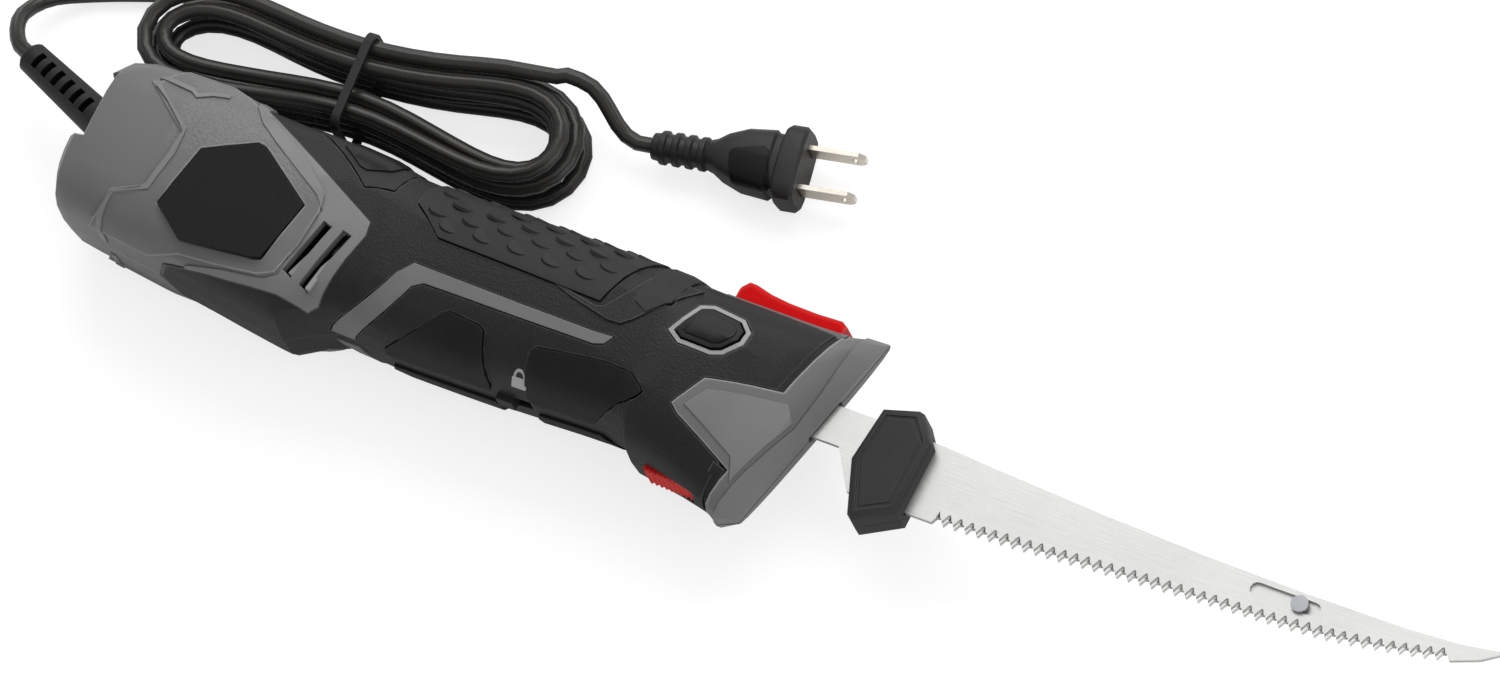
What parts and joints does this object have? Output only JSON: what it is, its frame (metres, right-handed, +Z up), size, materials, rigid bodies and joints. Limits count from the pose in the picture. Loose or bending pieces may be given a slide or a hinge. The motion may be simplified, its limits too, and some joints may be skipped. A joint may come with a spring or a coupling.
{
  "type": "electric fillet knife",
  "caption": "Electric fillet knife: moulded handle with soft grips, thumb switch and finger trigger, two sliding toothed blades with guards, and a tied power cord with its plug.",
  "frame": {"origin": "middle of the knife's length and height, without its cord, on the flat face of the lower side plate that it rests on", "axes": "+X from the handle's rear to the blade tip, +Y towards the thumb switch, +Z up through the side that shows, with the knife lying on its other side"},
  "size_m": [0.5167, 0.1287, 0.05],
  "materials": {
    "black_nylon": "fine moulded grain",
    "grey_plastic": "fine pebbled grain",
    "soft_rubber": "soft moulded grips with fine scale ridges",
    "light_trim": "smooth satin",
    "red_plastic": "smooth, slightly glossy",
    "blade_steel": "brushed along the blade",
    "motor_steel": "plain pressed steel",
    "brass": "plated pins, slightly worn",
    "copper": "enamelled copper wire and bare segments",
    "ferrite": "dark sintered ferrite and carbon",
    "natural_nylon": "uncoloured moulded nylon",
    "cord_vinyl": "soft black vinyl, slightly glossy"
  },
  "bodies": {
    "handle": {"housing_upper": "black_nylon", "housing_lower": "black_nylon", "rear_cover_upper": "grey_plastic", "rear_cover_lower": "grey_plastic", "nose_collar": "grey_plastic", "palm_pad": "soft_rubber", "top_inset": "soft_rubber", "thumb_ridge": "soft_rubber", "rear_grip_pad_upper": "soft_rubber", "rear_grip_pad_lower": "soft_rubber", "front_grip_pad_upper": "soft_rubber", "front_grip_pad_lower": "soft_rubber", "badge_plate_upper": "soft_rubber", "badge_plate_lower": "soft_rubber", "nose_foot": "soft_rubber", "strain_relief": "soft_rubber", "cord_tie": "soft_rubber", "motor_end_cap": "soft_rubber", "stripe_inlay_upper": "light_trim", "stripe_inlay_lower": "light_trim", "button_rim_upper": "light_trim", "button_rim_lower": "light_trim", "switch_trim": "light_trim", "motor_can": "motor_steel", "screw_1": "motor_steel", "screw_2": "motor_steel", "screw_3": "motor_steel", "screw_4": "motor_steel", "prong_left": "brass", "prong_right": "brass", "magnet_top": "ferrite", "magnet_bottom": "ferrite", "brush_top": "ferrite", "brush_bottom": "ferrite", "gear_frame_upper": "natural_nylon", "gear_frame_lower": "natural_nylon", "switch_body": "natural_nylon", "cord_lead": "cord_vinyl", "cord_hank": "cord_vinyl", "cord_tail": "cord_vinyl", "plug_body": "cord_vinyl"},
    "rotor": {"worm_shaft": "motor_steel", "armature_core": "motor_steel", "rear_winding": "copper", "front_winding": "copper", "commutator": "copper", "cooling_fan": "natural_nylon"},
    "crank": {"worm_wheel": "natural_nylon"},
    "blade_a": {"blade_upper": "blade_steel", "blade_carrier_upper": "motor_steel", "blade_guard_upper": "soft_rubber"},
    "blade_b": {"blade_lower": "blade_steel", "blade_carrier_lower": "motor_steel", "blade_guard_lower": "soft_rubber", "blade_rivet": "motor_steel"},
    "button_a": {"release_button_upper": "soft_rubber"},
    "button_b": {"release_button_lower": "soft_rubber"},
    "thumb": {"thumb_switch": "red_plastic"},
    "trigger": {"finger_trigger": "red_plastic"},
    "lock": {"lock_slide": "soft_rubber"}
  },
  "joints": [
    {"name": "rotor_spin", "type": "hinge", "parent": "handle", "child": "rotor", "pos_m": [0, 0.00915, 0.025], "axis": [1, 0, 0], "continuous": true},
    {"name": "gear_spin", "type": "hinge", "parent": "handle", "child": "crank", "pos_m": [-0.08586, -0.00585, 0.025], "axis": [0, 0, 1], "continuous": true},
    {"name": "blade_a_slide", "type": "slide", "parent": "handle", "child": "blade_a", "axis": [1, 0, 0], "range_m": [-0.002, 0.0064]},
    {"name": "blade_b_slide", "type": "slide", "parent": "handle", "child": "blade_b", "axis": [1, 0, 0], "range_m": [-0.0064, 0.002]},
    {"name": "release_upper_press", "type": "slide", "parent": "handle", "child": "button_a", "axis": [0, 0, -1], "range_m": [0, 0.002], "stiffness_N_per_m": 1500},
    {"name": "release_lower_press", "type": "slide", "parent": "handle", "child": "button_b", "axis": [0, 0, 1], "range_m": [0, 0.002], "stiffness_N_per_m": 1500},
    {"name": "thumb_press", "type": "slide", "parent": "handle", "child": "thumb", "axis": [0, -1, 0], "range_m": [0, 0.0025], "stiffness_N_per_m": 1600},
    {"name": "trigger_press", "type": "slide", "parent": "handle", "child": "trigger", "axis": [0, 1, 0], "range_m": [0, 0.0025], "stiffness_N_per_m": 1600},
    {"name": "lock_slide", "type": "slide", "parent": "handle", "child": "lock", "axis": [1, 0, 0], "range_m": [0, 0.005]}
  ],
  "couplings": [
    {"joint": "gear_spin", "follows": "rotor_spin", "ratio": 0.041667},
    {"joint": "blade_b_slide", "follows": "blade_a_slide", "ratio": -1}
  ]
}
